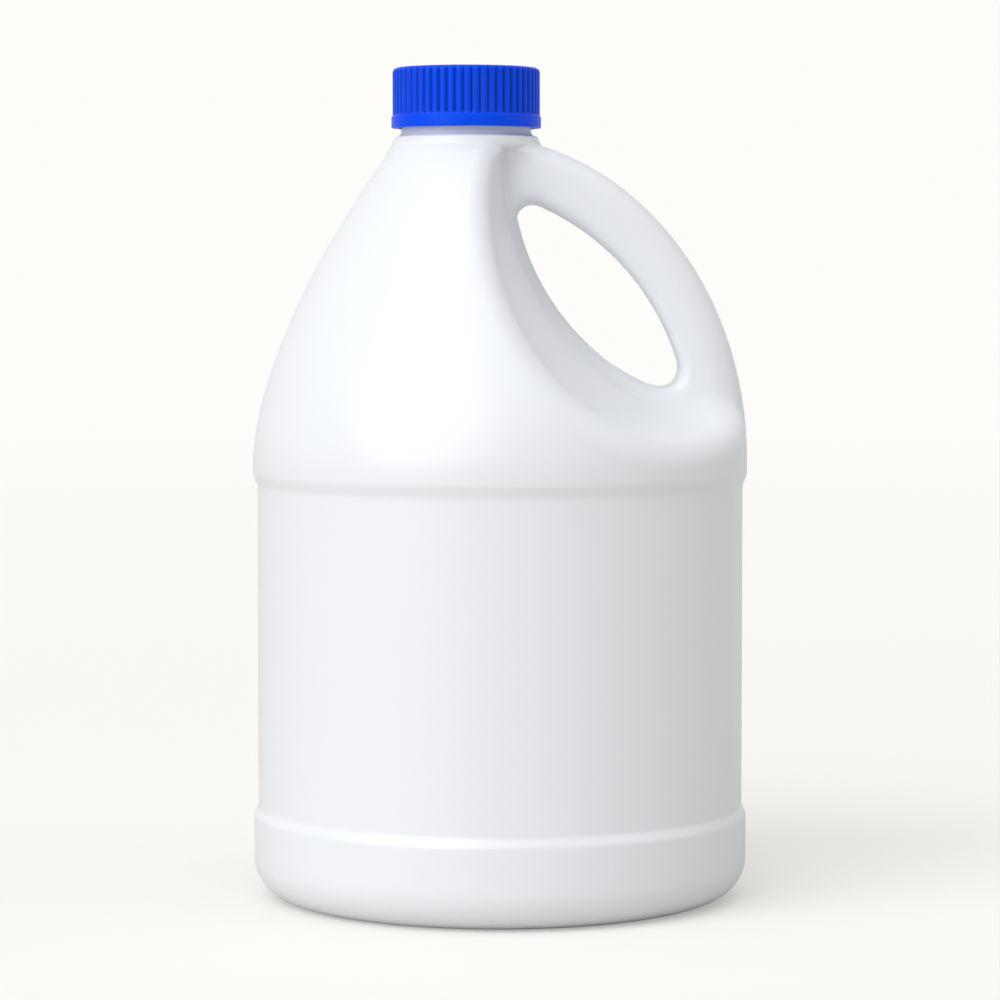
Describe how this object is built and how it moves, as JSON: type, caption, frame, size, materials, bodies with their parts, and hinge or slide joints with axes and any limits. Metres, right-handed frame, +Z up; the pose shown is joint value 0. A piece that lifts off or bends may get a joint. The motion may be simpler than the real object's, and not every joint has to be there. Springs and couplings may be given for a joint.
{
  "type": "bleach bottle",
  "caption": "White blow-moulded household jug with a hollow moulded-in handle and a ribbed blue screw cap with a foam liner.",
  "frame": {"origin": "on the body's axis, on the surface that the jug stands on", "axes": "+Z up along the neck and body, +X towards the handle, -Y the front shown in the picture; the mould parts at Y = 0"},
  "size_m": [0.1484, 0.1484, 0.2485],
  "materials": {
    "white_hdpe": "smooth blow-moulded polyethylene, opaque white with a soft satin sheen",
    "blue_pp": "injection-moulded polypropylene, royal blue, semi-gloss",
    "white_foam": "closed-cell polyethylene foam, matt white"
  },
  "bodies": {
    "bottle": {"bottle": "white_hdpe"},
    "liner": {"liner": "white_foam"},
    "cap": {"cap": "blue_pp"}
  },
  "joints": [
    {"name": "cap_lift", "type": "slide", "parent": "bottle", "child": "liner", "axis": [0, 0, 1], "range_m": [0, 0.018]},
    {"name": "cap_turn", "type": "hinge", "parent": "liner", "child": "cap", "pos_m": [-0.0101, 0, 0.2459], "axis": [0, 0, 1], "range_deg": [0, 1530]}
  ],
  "couplings": [
    {"joint": "cap_lift", "follows": "cap_turn", "m_per_rad": 0.00067322}
  ]
}
